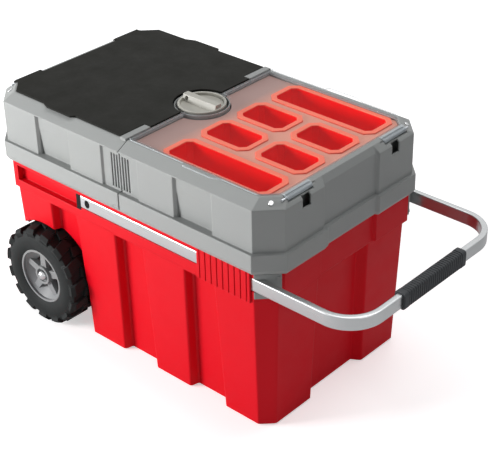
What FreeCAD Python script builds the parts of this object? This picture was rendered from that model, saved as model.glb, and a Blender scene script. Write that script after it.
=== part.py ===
import FreeCAD, Part
import math
import os

from FreeCAD import Vector

# Rolling jobsite storage box: a fluted tub on two wheels with a pull-out handle, closed by two trays that
# slide apart on ball slides, each under a hinged lid. Millimetres, X along the box with the wheels at -X,
# Y across it with the front at -Y, Z up from the floor, origin on the floor under the middle of the lid.

# Clearances and cuts
overrun = 20.0
slide_clearance = 0.3
running_clearance = 0.05
seat_gap = 0.3
flat_limit = 0.02

# Skirt, the lowest band of the two trays, which gives the plan of the box
skirt_length = 616.0
skirt_width = 378.0
skirt_corner = 36.8
skirt_wall = 3.0
skirt_lip_inset = 4.0
skirt_overlap = 7.0
band_height = 27.5
end_recess_depth = 5.0
end_recess_width = 117.0
end_recess_slant = 3.0

# Tub
tub_end_inset = 28.5
tub_side_inset = 22.0
tub_height = 240.0
tub_corner = 20.0
tub_lean = 9.5
tub_wall = 3.5
tub_floor = 4.0
tub_round = 4.0
foot_bevel = 3.0
flute_depth = 15.0
flute_width = 76.0
flute_pitch = 153.0
flute_slant = 4.0
flute_band = 6.0
end_flute_width = 130.0
end_flute_slant = 9.0

# Collar of the tub, with the channels for the handle and the rim for the slides
collar_height = 58.0
collar_wall = 4.0
collar_gap = 2.0
rim_height = 22.0
channel_end_margin = 42.0
channel_drop = 5.0
channel_wall = 3.0
cover_length = 105.2
cover_proud = 3.2
cover_top_gap = 8.5
cover_drop = 2.0
groove_count = 9
groove_width = 2.0
groove_depth = 1.6

# Handle
arm_height = 22.0
arm_thickness = 10.0
arm_wall = 1.6
arm_round = 2.0
arm_run_in = 155.0
arm_drop = 17.5
handle_reach = 154.0
handle_bend = 60.0
slider_length = 10.0
slider_spigot = 26.0
button_length = 9.0
button_height = 5.0
button_from_end = 15.0
grip_length = 150.0
grip_height = 28.0
grip_thickness = 19.0
grip_round = 5.0
grip_band = 10.0
grip_rib_pitch = 5.2
grip_rib_width = 3.2
grip_rib_depth = 1.4
grip_rib_sink = 0.35
guide_thickness = 3.0
guide_drop = 11.0
guide_end_margin = 3.0
guide_screw_radius = 3.2
guide_screw_height = 1.2
guide_screw_margin = 6.5

# Wheels and axle
wheel_radius = 89.0
wheel_width = 58.0
wheel_proud = 10.0
axle_inset = 99.0
axle_radius = 6.0
well_clearance = 6.0
well_side_gap = 5.0
apron_drop = 29.0
axle_headroom = 10.0
boss_radius = 14.0
boss_length = 11.0
rim_radius = 49.0
rim_width = 50.0
rim_wall = 3.0
rim_lip = 4.0
rim_lip_depth = 5.0
hub_radius = 17.0
hub_sink = 3.0
hub_counterbore_radius = 12.5
hub_counterbore_depth = 4.0
spoke_count = 5
spoke_root = 15.0
spoke_tip = 11.0
spoke_sink = 8.0
spoke_depth = 12.0
bush_wall = 3.0
cap_radius = 9.0
cap_height = 5.0
cap_dome_share = 0.3
tread_depth = 6.0
lug_count = 15
lug_width = 18.0
lug_cross = 4.0
lug_skew = 18.0
sidewall_bulge_share = 0.52
shoulder_share = 0.8
bead_share = 0.84

# Trays
seam_gap = 1.0
tray_wall = 3.0
tray_floor = 3.0
tray_floor_gap = 4.0
tray_end_inset = 23.0
tray_corner = 20.0
wall_setback = 5.6
wall_height = 69.5
bevel_rise = 11.7
frame_end_inset = 16.0
frame_side_inset = 27.0
frame_corner = 27.0
grip_zone = 37.0
grip_zone_depth = 3.0
finger_slot_width = 3.0
finger_slot_depth = 6.0
finger_slot_pitch = 6.0
finger_slot_count = 3
panel_inner = 118.0
panel_outer = 188.0
recess_depth_low = 8.0
recess_depth_high = 2.5
recess_top_margin = 4.0
strip_width = 13.0
strip_proud = 3.0
strip_length = 52.0
strip_rise = 2.8
tongue_reach = 13.0
tongue_height = 4.0
stud_radius = 4.0
stud_height = 2.0
stud_round = 1.2

# Ball slides
slide_depth = 16.0
rail_height = 17.0
rail_lift = 0.5
rail_sheet = 1.2
rail_depth = 11.0
rail_end_margin = 2.0
runner_depth = 10.0
runner_seam_margin = 8.0
ball_radius = 1.85
ball_clearance = 0.15
ball_count = 3
ball_pitch = 26.0
cage_sheet = 0.8
cage_web_gap = 2.2
cage_length = 64.0
rail_screw_radius = 2.5
rail_screw_head = 1.0
rail_screw_count = 4

# Lids
lid_thickness = 3.0
lid_end_gap = 8.0
lid_corner = 24.0
lid_flange_depth = 2.6
lid_flange_wall = 2.0
lid_flange_gap = 1.0
black_lid_seam = 1.0
clear_lid_seam = 5.0
clear_lip_width = 3.0
clear_lip_rise = 1.6
tab_inner = 122.0
tab_outer = 177.0
tab_slope_inner = 5.0
tab_slope_outer = 17.0
tab_reach = 7.0
hinge_drop = 2.7
barrel_radius = 4.5
barrel_inset = 24.0
barrel_length = 54.0
lug_thickness = 8.0
pin_radius = 1.75
hinge_notch_offset = 11.0
hinge_notch_width = 18.0
hinge_notch_depth = 20.0

# Organizer deck and cups
deck_thickness = 3.0
deck_drop = 5.7
deck_gap = 0.5
deck_ledge = 5.0
deck_ledge_height = 4.0
cup_lock_margin = 11.0
cup_end_margin = 16.0
cup_side_margin = 1.0
cup_gap_x = 11.0
cup_gap_y = 12.0
cup_corner = 13.0
cup_rim = 7.0
cup_rim_thickness = 2.2
cup_depth = 68.0
cup_wall = 2.0
cup_taper = 5.0

# Lock
lock_radius = 44.5
lock_gap = 1.5
lock_plate_thickness = 3.0
lock_ring_wall = 2.0
lock_drop = 15.2
lock_shelf_thickness = 3.5
lock_shelf_length = 62.0
lock_shelf_half = 50.0
gusset_height = 28.0
knob_radius = 39.0
knob_lift = 1.0
knob_height = 8.0
knob_round = 2.0
knob_bar_width = 17.0
knob_bar_height = 11.0
knob_bar_slant = 3.0
knob_bar_end = 3.0
eye_radius = 3.6
eye_inset = 12.0
shaft_radius = 6.0
shaft_length = 13.5
cam_thickness = 4.0
cam_gap = 1.0
cam_hub_radius = 9.0
hook_inner = 22.0
hook_outer = 28.0
hook_angle = 90.0
hook_rest = -135.0
hook_spoke = 7.0
cam_screw_radius = 5.0
cam_screw_height = 2.0
striker_x = 15.0
striker_radius = 3.0
striker_plate = 2.0
striker_half = 12.0
striker_drop = 14.0
lock_screw_radius = 2.6
lock_screw_height = 1.4
lock_screw_offset = 26.0

# Heights worked out from those sizes
collar_top = tub_height + collar_height
rim_top = collar_top + rim_height
lip_bottom = collar_top - skirt_overlap
band_top = collar_top + band_height
wall_top = band_top + wall_height
frame_top = wall_top + bevel_rise
flute_top = tub_height - flute_band
tray_bottom = collar_top + tray_floor_gap
lid_bottom = frame_top + seat_gap
lid_top = lid_bottom + lid_thickness
hinge_z = frame_top - hinge_drop
deck_top = frame_top - deck_drop
lock_seat = frame_top - lock_drop
lock_floor = lock_seat + lock_plate_thickness
cam_top = lock_seat - lock_shelf_thickness - cam_gap
cam_bottom = cam_top - cam_thickness
lock_under = cam_bottom - cam_screw_height - cam_gap
arm_top = collar_top - arm_drop
arm_bottom = arm_top - arm_height
arm_middle = (arm_top + arm_bottom) / 2
channel_top = arm_top + slide_clearance + slide_clearance
channel_bottom = arm_bottom - channel_drop

# Places worked out from those sizes
half_length = skirt_length / 2
half_width = skirt_width / 2
frame_half = half_width - frame_side_inset
frame_end = half_length - frame_end_inset
tub_half_length = half_length - tub_end_inset
tub_half_width = half_width - tub_side_inset
collar_inset = skirt_lip_inset + skirt_wall + collar_gap
collar_half = half_width - collar_inset
collar_end = half_length - collar_inset
rim_half = collar_end - skirt_corner
channel_left = -collar_end + channel_end_margin
cover_left = rim_half - cover_length
arm_left = channel_left + arm_run_in
arm_outer = collar_half
arm_inner = arm_outer - arm_thickness
channel_inner = arm_inner - slide_clearance
arm_stop = arm_left + slide_clearance
handle_end = collar_end + handle_reach
handle_bend_inner = handle_bend - arm_thickness
tray_half = collar_half - collar_wall - slide_depth
tray_end = half_length - tray_end_inset
seam_half = seam_gap / 2
rail_outer = collar_half - collar_wall
rail_bottom = tray_bottom + rail_lift
rail_top = rail_bottom + rail_height
ball_room = 2 * (ball_radius + ball_clearance)
cage_middle = (runner_seam_margin + rim_half - rail_end_margin) / 2
hinge_x = frame_end
lid_end = hinge_x - lid_end_gap
barrel_outer = frame_half - barrel_inset
barrel_inner = barrel_outer - barrel_length
hinge_notch_inner = barrel_inner + hinge_notch_offset
hinge_notch_outer = hinge_notch_inner + hinge_notch_width
strip_outer = frame_half + strip_proud
strip_inner = strip_outer - strip_length
cup_first_x = lock_radius + lock_gap + cup_lock_margin
cup_length = (tray_end - tray_wall - cup_end_margin - cup_gap_x - cup_first_x) / 2
cup_width = (2 * (tray_half - tray_wall - cup_side_margin) - 3 * cup_gap_y) / 4
wheel_outer = half_width + wheel_proud
axle_x = -half_length + axle_inset
axle_z = wheel_radius
well_radius = wheel_radius + well_clearance
well_inner = wheel_outer - wheel_width - well_side_gap
step_x = axle_x + well_radius
step_top = axle_z + axle_radius + axle_headroom
apron_bottom = axle_z - apron_drop
wheel_middle = wheel_outer - wheel_width / 2


def block(x_span, y_span, z_span):
    """Box between two limits on each axis."""
    (x0, x1), (y0, y1), (z0, z1) = (sorted(span) for span in (x_span, y_span, z_span))
    return Part.makeBox(x1 - x0, y1 - y0, z1 - z0, Vector(x0, y0, z0))


def rod(radius, start, end):
    """Round bar from one point to another."""
    along = Vector(*end) - Vector(*start)
    return Part.makeCylinder(radius, along.Length, Vector(*start), along)


def directions(points):
    """Unit vectors into and out of each corner of a closed outline."""
    corners = [Vector(x, y, 0) for x, y in points]
    for before, here, after in zip(corners[-1:] + corners[:-1], corners, corners[1:] + corners[:1]):
        yield here, (here - before).normalize(), (after - here).normalize()


def grown(points, distance):
    """The outline with every edge moved outwards by a distance; corners run counter-clockwise."""
    moved = []
    for here, into, out in directions(points):
        normals = Vector(into.y + out.y, -into.x - out.x, 0)
        corner = here + normals * (distance / (1 + into.dot(out)))
        moved.append((corner.x, corner.y))
    return moved


def wire(points, z, radius=0.0):
    """Closed wire at a height, with each corner rounded where a radius is given."""
    if not radius:
        corners = [Vector(x, y, z) for x, y in points]
        return Part.makePolygon(corners + corners[:1])
    arcs = []
    for here, into, out in directions(points):
        here = here + Vector(0, 0, z)
        half_turn = math.acos(max(-1.0, min(1.0, into.dot(out)))) / 2
        back = radius * math.tan(half_turn)
        inward = (out - into).normalize()
        middle = here + inward * (radius / math.cos(half_turn) - radius)
        arcs.append((here - into * back, middle, here + out * back))
    edges = []
    for arc, following in zip(arcs, arcs[1:] + arcs[:1]):
        edges.append(Part.Arc(*arc).toShape())
        edges.append(Part.makeLine(arc[2], following[0]))
    return Part.Wire(edges)


def prism(points, z_span, radius=0.0):
    """Upright solid on an outline."""
    low, high = z_span
    return Part.Face(wire(points, low, radius)).extrude(Vector(0, 0, high - low))


def loft(sections, radius=0.0):
    """Straight-sided solid through outlines at their heights."""
    return Part.makeLoft([wire(points, z, radius) for points, z in sections], True, True)


def along_x(points, x_span):
    """Solid with a section in Y and Z, run along X."""
    corners = [Vector(x_span[0], y, z) for y, z in points]
    face = Part.Face(Part.makePolygon(corners + corners[:1]))
    return face.extrude(Vector(x_span[1] - x_span[0], 0, 0))


def across(shape):
    """The same shape at the other side of the box, front for back."""
    return shape.mirror(Vector(), Vector(0, 1, 0))


def endwise(shape):
    """The same shape at the other end of the box, right for left."""
    return shape.mirror(Vector(), Vector(1, 0, 0))


def both_sides(shape):
    return shape.fuse(across(shape))


def fused(shapes):
    return shapes[0].multiFuse(shapes[1:]).removeSplitter()


def turned(points):
    """An outline closed by the same points turned half a circle."""
    return points + [(-x, -y) for x, y in points]


def octagon(x, y, corner, recess=0.0):
    """Plan with four cut corners and a shallow recess in each end."""
    side = end_recess_width / 2
    return turned([(-x + corner, -y), (x - corner, -y), (x, -y + corner),
                   (x, -side - end_recess_slant), (x - recess, -side),
                   (x - recess, side), (x, side + end_recess_slant), (x, y - corner)])


def skirt_plan(inset=0.0):
    return grown(octagon(half_length, half_width, skirt_corner, end_recess_depth), -inset)


def frame_plan(inset=0.0):
    return grown(octagon(frame_end, frame_half, frame_corner), -inset)


def tub_plan(offset=0.0, fluted=True):
    """Plan of the tub at the floor, moved outwards by an offset."""
    x, y = tub_half_length, tub_half_width
    outline = [(-x + tub_corner, -y)]
    for middle in (-flute_pitch, 0, flute_pitch) if fluted else ():
        for side, sunk in ((-1, 0), (-1, 1), (1, 1), (1, 0)):
            outline.append((middle + side * (flute_width / 2 - sunk * flute_slant), -y + sunk * flute_depth))
    outline.append((x - tub_corner, -y))
    outline.append((x, -y + tub_corner))
    for side, sunk in ((-1, 0), (-1, 1), (1, 1), (1, 0)) if fluted else ():
        outline.append((x - sunk * flute_depth, side * (end_flute_width / 2 - sunk * end_flute_slant)))
    outline.append((x, y - tub_corner))
    return grown(turned(outline), offset)


def lean(z):
    """How far the tub's wall has leant out at a height."""
    return tub_lean * z / tub_height


def tub_body(inset, bottom, top):
    """The fluted tub, inside its outer face by an inset, between two heights."""
    return loft([(tub_plan(lean(bottom) - inset), bottom), (tub_plan(lean(top) - inset), top)], tub_round)


def wheel_well(margin, side):
    """Space round one wheel: an arch over the axle, open below it."""
    radius = well_radius + margin
    inner = side * (well_inner - margin)
    outer = side * (wheel_outer + overrun)
    arch = rod(radius, (axle_x, inner, axle_z), (axle_x, outer, axle_z))
    below = block((-half_length - overrun, axle_x + radius), (inner, outer), (-overrun, axle_z))
    return arch.fuse(below)


def axle_space(margin):
    """Space under the raised floor between the wells, behind the apron at the end."""
    side = well_inner - tub_wall + margin
    return block((-half_length, step_x + margin), (-side, side), (-overrun, step_top + margin))


def handle_channel():
    """Channel in the front of the collar for one arm of the handle, open to the front left of its cover."""
    stop = block((channel_left, arm_stop), (-collar_half - overrun, -channel_inner),
                 (channel_bottom, channel_top))
    open_run = block((arm_stop, cover_left), (-collar_half - overrun, -channel_inner),
                     (arm_bottom - slide_clearance, channel_top))
    covered = block((cover_left, half_length), (-arm_outer - slide_clearance, -channel_inner),
                    (arm_bottom - slide_clearance, channel_top))
    return fused([stop, open_run, covered])


def channel_cover():
    """Ribbed cover over the right-hand run of the channel."""
    x_span = (cover_left, rim_half)
    z_span = (tub_height - cover_drop, collar_top - cover_top_gap)
    face = -collar_half - cover_proud
    cover = block(x_span, (face, -collar_half + collar_wall), z_span)
    pitch = (x_span[1] - x_span[0]) / groove_count
    grooves = []
    for i in range(groove_count):
        start = x_span[0] + pitch * (i + 0.5) - groove_width / 2
        grooves.append(block((start, start + groove_width),
                             (face - overrun, face + groove_depth),
                             (z_span[0] - overrun, z_span[1] + overrun)))
    return cover.cut(fused(grooves))


def bin_node():
    """Tub, collar and rim in one moulding, hollowed, with its wells, channels and axle bosses."""
    foot = [(tub_plan(-foot_bevel), 0), (tub_plan(lean(foot_bevel)), foot_bevel)]
    walls = loft(foot + [(tub_plan(lean(flute_top)), flute_top)], tub_round)
    plain = prism(tub_plan(lean(tub_height), False), (flute_top, tub_height), tub_round)
    collar = prism(skirt_plan(collar_inset), (tub_height, collar_top))
    rim = both_sides(block((-rim_half, rim_half), (-collar_half, -rail_outer), (tub_height, rim_top)))
    covers = both_sides(channel_cover())
    outer = fused([walls, plain, collar, rim, covers])

    ledge, shelf = flute_top + tub_wall, tub_height + tub_wall
    hollow = fused([tub_body(tub_wall, tub_floor, ledge),
                    prism(tub_plan(lean(tub_height) - tub_wall, False), (ledge, shelf), tub_round),
                    prism(skirt_plan(collar_inset + collar_wall), (shelf, rim_top + overrun))])
    backing = block((channel_left - channel_wall, half_length), (-collar_half, -channel_inner + channel_wall),
                    (channel_bottom - channel_wall, channel_top + channel_wall))
    wells = [wheel_well(0.0, side) for side in (-1, 1)]
    thick_wells = [wheel_well(tub_wall, side) for side in (-1, 1)]
    hollow = hollow.cut(fused([both_sides(backing), axle_space(tub_wall), rim] + thick_wells))

    apron = tub_body(tub_wall, apron_bottom, step_top).common(axle_space(0.0))
    beneath = block((-half_length - overrun, step_x), (-half_width, half_width), (-overrun, apron_bottom))
    bosses = []
    for side in (-1, 1):
        inner = side * (well_inner - boss_length)
        bosses.append(rod(boss_radius, (axle_x, inner, axle_z), (axle_x, side * well_inner, axle_z)))
    channels = both_sides(handle_channel())
    body = outer.cut(fused([hollow, apron, beneath, channels] + wells))
    body = fused([body] + bosses)
    bore = rod(axle_radius, (axle_x, -half_width, axle_z), (axle_x, half_width, axle_z))
    holes = [rail_screw(place, side, 0.0) for place in rail_screw_places() for side in (-1, 1)]
    return body.cut(fused([bore] + holes))


def rail_screw_places():
    run = 2 * (rim_half - rail_end_margin)
    return [run * ((i + 0.5) / rail_screw_count - 0.5) for i in range(rail_screw_count)]


def rail_screw(x, side, head):
    """Screw from the rail's web into the rim; the head is left off for its hole."""
    z = (rail_bottom + rail_top) / 2
    web = side * (rail_outer - rail_sheet)
    shank = rod(rail_screw_radius / 2, (x, web, z), (x, side * (rail_outer + collar_wall / 2), z))
    if not head:
        return shank
    return shank.fuse(rod(rail_screw_radius, (x, web, z), (x, web - side * head, z)))


def rail_node():
    """Front rail: a channel of folded steel that faces the tray."""
    face = -rail_outer
    x_span = (-rim_half + rail_end_margin, rim_half - rail_end_margin)
    web = block(x_span, (face, face + rail_sheet), (rail_bottom, rail_top))
    low = block(x_span, (face, face + rail_depth), (rail_bottom, rail_bottom + rail_sheet))
    high = block(x_span, (face, face + rail_depth), (rail_top - rail_sheet, rail_top))
    holes = [rail_screw(place, -1, 0.0) for place in rail_screw_places()]
    return fused([web, low, high]).cut(fused(holes))


def runner_node():
    """Front runner of the right tray: a folded strip on the tray's wall, inside the rail."""
    low = rail_bottom + rail_sheet + ball_room
    high = rail_top - rail_sheet - ball_room
    x_span = (runner_seam_margin, rim_half - rail_end_margin)
    web = block(x_span, (-tray_half - rail_sheet, -tray_half), (low, high))
    legs = [block(x_span, (-tray_half - runner_depth, -tray_half), span)
            for span in ((low, low + rail_sheet), (high - rail_sheet, high))]
    return fused([web] + legs)


def ball_places():
    """Centres of the balls in the right tray's front slide."""
    y = -(rail_outer - rail_depth + tray_half + runner_depth) / 2
    heights = (rail_bottom + rail_sheet + ball_room / 2, rail_top - rail_sheet - ball_room / 2)
    runs = [cage_middle + ball_pitch * (i - (ball_count - 1) / 2) for i in range(ball_count)]
    return [(x, y, z) for x in runs for z in heights]


def cage_node():
    """Cage of the right tray's front slide, with a hole round each ball."""
    back = -rail_outer + rail_sheet + cage_web_gap
    front = -rail_outer + rail_depth - cage_sheet
    places = ball_places()
    x_span = (cage_middle - cage_length / 2, cage_middle + cage_length / 2)
    low, high = places[0][2], places[1][2]
    web = block(x_span, (back, back + cage_sheet), (low - cage_sheet / 2, high + cage_sheet / 2))
    legs = [block(x_span, (back, front), (z - cage_sheet / 2, z + cage_sheet / 2)) for z in (low, high)]
    holes = [rod(ball_radius + ball_clearance, (x, y, z - cage_sheet), (x, y, z + cage_sheet))
             for x, y, z in places]
    return fused([web] + legs).cut(fused(holes))


def balls_node():
    return Part.makeCompound([Part.makeSphere(ball_radius, Vector(*place)) for place in ball_places()])


def handle_path(offset, height, z):
    """The handle's bar as a bent solid, inside its outer face by an offset."""
    outer, inner = arm_outer - offset, arm_inner + offset
    z_span = (z - height / 2, z + height / 2)
    bend_x, bend_y = handle_end - handle_bend, arm_outer - handle_bend
    arm = block((arm_left, bend_x), (-outer, -inner), z_span)
    bar = block((handle_end - arm_thickness + offset, handle_end - offset), (-bend_y, bend_y), z_span)
    start = Vector(bend_x, -bend_y, z_span[0])
    turn = Part.makeCylinder(handle_bend - offset, height, start, Vector(0, 0, 1), 90)
    turn = turn.cut(Part.makeCylinder(handle_bend_inner + offset, height, start, Vector(0, 0, 1), 90))
    turn.rotate(start, Vector(0, 0, 1), -90)
    return fused([arm, turn, across(arm), across(turn), bar])


def button_hole(y_span):
    """Oval through the arm's outer wall, near its end."""
    x, z = arm_left + button_from_end, arm_middle
    run = (button_length - button_height) / 2
    ends = [rod(button_height / 2, (x + s * run, y_span[0], z), (x + s * run, y_span[1], z)) for s in (-1, 1)]
    flat = block((x - run, x + run), y_span, (z - button_height / 2, z + button_height / 2))
    return fused(ends + [flat])


def handle_tube_node():
    """Rectangular aluminium tube bent to a U, with rounded long edges."""
    solid = handle_path(0.0, arm_height, arm_middle)
    level = [edge for edge in solid.Edges if edge.BoundBox.ZLength < flat_limit]
    edges = [edge for edge in level if edge.BoundBox.XMax > arm_left + arm_wall]
    solid = solid.makeFillet(arm_round, edges)
    tube = solid.cut(handle_path(arm_wall, arm_height - 2 * arm_wall, arm_middle))
    hole = button_hole((-arm_outer - overrun, -arm_outer + arm_wall))
    return tube.cut(both_sides(hole))


def slider_node():
    """Plastic slider in the front arm's end; it runs in the channel and its button shows in the arm."""
    head = block((arm_left - slider_length, arm_left), (-arm_outer, -arm_inner),
                 (channel_bottom + slide_clearance, channel_top - slide_clearance))
    spigot = block((arm_left, arm_left + slider_spigot), (-arm_outer + arm_wall, -arm_inner - arm_wall),
                   (arm_bottom + arm_wall, arm_top - arm_wall))
    button = button_hole((-arm_outer, -arm_outer + arm_wall))
    return fused([head, spigot, button])


def grip_node():
    """Moulded grip round the middle of the handle's bar, ribbed between two plain bands."""
    x = handle_end - arm_thickness / 2
    half_x, half_z, half_y = grip_thickness / 2, grip_height / 2, grip_length / 2

    def sleeve(inset, y_span):
        body = block((x - half_x + inset, x + half_x - inset), y_span,
                     (arm_middle - half_z + inset, arm_middle + half_z - inset))
        long_edges = [edge for edge in body.Edges if edge.BoundBox.YLength > edge.BoundBox.XLength
                      and edge.BoundBox.YLength > edge.BoundBox.ZLength]
        return body.makeFillet(grip_round - inset, long_edges)

    core = sleeve(grip_rib_depth, (-half_y, half_y))
    bands = [sleeve(0.0, (s * half_y, s * (half_y - grip_band))) for s in (-1, 1)]
    run = grip_length - 2 * grip_band
    count = round(run / grip_rib_pitch)
    starts = [-run / 2 + run * (i + 0.5) / count - grip_rib_width / 2 for i in range(count)]
    ribs = [sleeve(grip_rib_sink, (y, y + grip_rib_width)) for y in starts]
    bar = block((handle_end - arm_thickness, handle_end), (-half_y, half_y), (arm_bottom, arm_top))
    return fused([core] + bands + ribs).cut(bar)


def guide_node():
    """Grey guide on the front right corner of the collar, notched round the handle's arm."""
    corner = skirt_plan(collar_inset)
    plan = [corner[1], corner[2]]
    z_span = (arm_bottom - guide_drop, collar_top - cover_top_gap)
    outward = Vector(1, -1, 0).normalize() * guide_thickness
    (x0, y0), (x1, y1) = plan
    end = (x1 - guide_end_margin, y1 - guide_end_margin)
    outline = [(x0, y0), (x0 + outward.x, y0 + outward.y), (end[0] + outward.x, end[1] + outward.y), end]
    plate = prism(outline, z_span)
    arm = block((arm_left, handle_end), (-half_width, -arm_inner + slide_clearance),
                (arm_bottom - slide_clearance, arm_top + slide_clearance))
    return plate.cut(arm).cut(fused(guide_screws(0.0)))


def guide_screws(head):
    """Two screws through the guide into the collar's corner; heads are left off for the holes."""
    x1, y1 = skirt_plan(collar_inset)[2]
    outward = Vector(1, -1, 0).normalize()
    x, y = x1 - guide_screw_margin, y1 - guide_screw_margin
    heights = (arm_bottom - guide_drop / 2, collar_top - cover_top_gap - guide_screw_margin)
    screws = []
    for z in heights:
        seat = Vector(x, y, z)
        face = seat + outward * guide_thickness
        screw = rod(guide_screw_radius / 2, tuple(seat), tuple(face))
        if head:
            screw = screw.fuse(rod(guide_screw_radius, tuple(face), tuple(face + outward * head)))
        screws.append(screw)
    return screws


def wheel_ring(profile, arcs=()):
    """Solid of revolution about the front wheel's axle; the profile gives radius and place across."""
    corners = [Vector(axle_x, -wheel_middle + y, axle_z + r) for r, y in profile]
    edges = []
    for i, (start, end) in enumerate(zip(corners, corners[1:] + corners[:1])):
        if i in arcs:
            r, y = arcs[i]
            through = Vector(axle_x, -wheel_middle + y, axle_z + r)
            edges.append(Part.Arc(start, through, end).toShape())
        else:
            edges.append(Part.makeLine(start, end))
    return Part.Face(Part.Wire(edges)).revolve(Vector(axle_x, 0, axle_z), Vector(0, 1, 0), 360)


def tyre_node():
    """Front tyre: a round carcass with two staggered rows of skewed lugs."""
    half = wheel_width / 2
    root = wheel_radius - tread_depth
    bead = half * bead_share
    shoulder = half * shoulder_share
    waist = rim_radius + (root - rim_radius) * sidewall_bulge_share
    carcass = wheel_ring([(rim_radius, -bead), (root, -shoulder), (root, shoulder), (rim_radius, bead)],
                         {0: (waist, -half), 2: (waist, half)})
    tread = wheel_ring([(waist, -half + tread_depth), (root, -half), (wheel_radius, -shoulder),
                        (wheel_radius, shoulder), (root, half), (waist, half - tread_depth)])
    lugs = []
    pitch = 360.0 / lug_count
    for side in (-1, 1):
        blade = block((axle_x - lug_width / 2, axle_x + lug_width / 2),
                      (-wheel_middle + side * (half + overrun), -wheel_middle - side * lug_cross),
                      (axle_z - wheel_radius - overrun, axle_z - waist))
        blade.rotate(Vector(axle_x, -wheel_middle + side * half / 2, 0), Vector(0, 0, 1), side * lug_skew)
        first = tread.common(blade)
        for i in range(lug_count):
            lug = first.copy()
            turn = pitch * (i + (0.5 if side > 0 else 0.0))
            lug.rotate(Vector(axle_x, 0, axle_z), Vector(0, 1, 0), turn)
            lugs.append(lug)
    return fused([carcass] + lugs)


def rim_node():
    """Front rim: a deep barrel with a lip, a hub and flat spokes."""
    half = rim_width / 2
    barrel = wheel_ring([(rim_radius, -half), (rim_radius, half), (rim_radius - rim_wall, half),
                         (rim_radius - rim_wall, -half + rim_lip_depth),
                         (rim_radius - rim_lip, -half + rim_lip_depth), (rim_radius - rim_lip, -half)])
    face = -half + hub_sink
    bore = axle_radius + running_clearance + bush_wall
    back = wheel_middle - well_inner - slide_clearance - slide_clearance
    sunk = face + hub_counterbore_depth
    hub = wheel_ring([(bore, sunk), (hub_counterbore_radius, sunk), (hub_counterbore_radius, face),
                      (hub_radius, face), (hub_radius, back), (bore, back)])
    spoke_front = -wheel_middle - half + spoke_sink
    reach = rim_radius - rim_wall / 2
    middle = (bore + hub_radius) / 2
    plan = [(axle_x - spoke_root / 2, axle_z + middle), (axle_x + spoke_root / 2, axle_z + middle),
            (axle_x + spoke_tip / 2, axle_z + reach), (axle_x - spoke_tip / 2, axle_z + reach)]
    corners = [Vector(x, spoke_front, z) for x, z in plan]
    spoke = Part.Face(Part.makePolygon(corners + corners[:1])).extrude(Vector(0, spoke_depth, 0))
    spokes = []
    for i in range(spoke_count):
        copy = spoke.copy()
        copy.rotate(Vector(axle_x, 0, axle_z), Vector(0, 1, 0), 360.0 * i / spoke_count)
        spokes.append(copy)
    return fused([barrel, hub] + spokes)


def bush_node():
    half = rim_width / 2
    inner, outer = axle_radius + running_clearance, axle_radius + running_clearance + bush_wall
    face = -half + hub_sink + hub_counterbore_depth
    back = wheel_middle - well_inner - slide_clearance - slide_clearance
    return wheel_ring([(inner, face), (outer, face), (outer, back), (inner, back)])


def axle_node():
    reach = wheel_middle + rim_width / 2 - hub_sink
    return rod(axle_radius, (axle_x, -reach, axle_z), (axle_x, reach, axle_z))


def axle_cap():
    """Domed push nut on the front end of the axle."""
    half = rim_width / 2
    seat = -half + hub_sink + hub_counterbore_depth - slide_clearance
    end = -half + hub_sink
    outer = end - cap_height
    dome = (cap_radius * math.sqrt(0.5), outer + cap_height * cap_dome_share)
    return wheel_ring([(0, outer), (cap_radius, seat - slide_clearance), (cap_radius, seat),
                       (axle_radius, seat), (axle_radius, end), (0, end)], {0: dome})


def front_recess(margin):
    """Cuts in the right tray's front wall: the sloping recess between two panels and the finger grip."""
    face = -half_width + wall_setback
    low, high = band_top - margin, wall_top - recess_top_margin + margin
    slope = along_x([(face - overrun, low), (face + recess_depth_low + margin, low),
                     (face + recess_depth_high + margin, high), (face - overrun, high)],
                    (panel_inner - margin, panel_outer + margin))
    zone = block((-overrun, grip_zone + margin), (face - overrun, face + grip_zone_depth + margin),
                 (low, high))
    slots = []
    for i in range(finger_slot_count):
        x = finger_slot_pitch * (i + 1)
        slots.append(block((x - finger_slot_width / 2 - margin, x + finger_slot_width / 2 + margin),
                           (face - overrun, face + grip_zone_depth + finger_slot_depth + margin),
                           (low + recess_top_margin, high - recess_top_margin)))
    return fused([slope, zone] + slots)


def tray_block(inset, z_span):
    """Plan of the right tray's compartment wall, as a solid between two heights."""
    x0, x1, y = seam_half + inset, tray_end - inset, tray_half - inset
    c = tray_corner - inset * (2 - math.sqrt(2))
    return prism([(x0, -y), (x1 - c, -y), (x1, -y + c), (x1, y - c), (x1 - c, y), (x0, y)], z_span)


def tray_envelope(wall):
    """Outer form of both trays together, or the space inside their walls."""
    lip = loft([(skirt_plan(skirt_lip_inset + wall), lip_bottom), (skirt_plan(wall), collar_top)])
    band = prism(skirt_plan(wall), (collar_top, band_top - wall))
    knee = wall_top - wall / 2
    upper = prism(skirt_plan(wall_setback + wall), (band_top - wall, knee))
    bevel = loft([(skirt_plan(wall_setback + wall), knee), (frame_plan(wall), frame_top - wall)])
    return fused([lip, band, upper, bevel])


def hinge_pocket(y_span):
    """Room for one hinge barrel in the frame's end."""
    radius = barrel_radius + slide_clearance
    return block((hinge_x - radius, half_length), y_span, (hinge_z - radius, frame_top + overrun))


def hinge_lugs():
    """Solid lugs of the frame on both sides of each barrel of the right tray."""
    low, high = barrel_inner - slide_clearance, barrel_outer + slide_clearance
    x_span = (tray_end - tray_wall, hinge_x + barrel_radius)
    z_span = (wall_top, frame_top)
    inner = block(x_span, (low - lug_thickness, low), z_span)
    outer = block(x_span, (high, high + lug_thickness), z_span)
    return both_sides(inner.fuse(outer))


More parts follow.
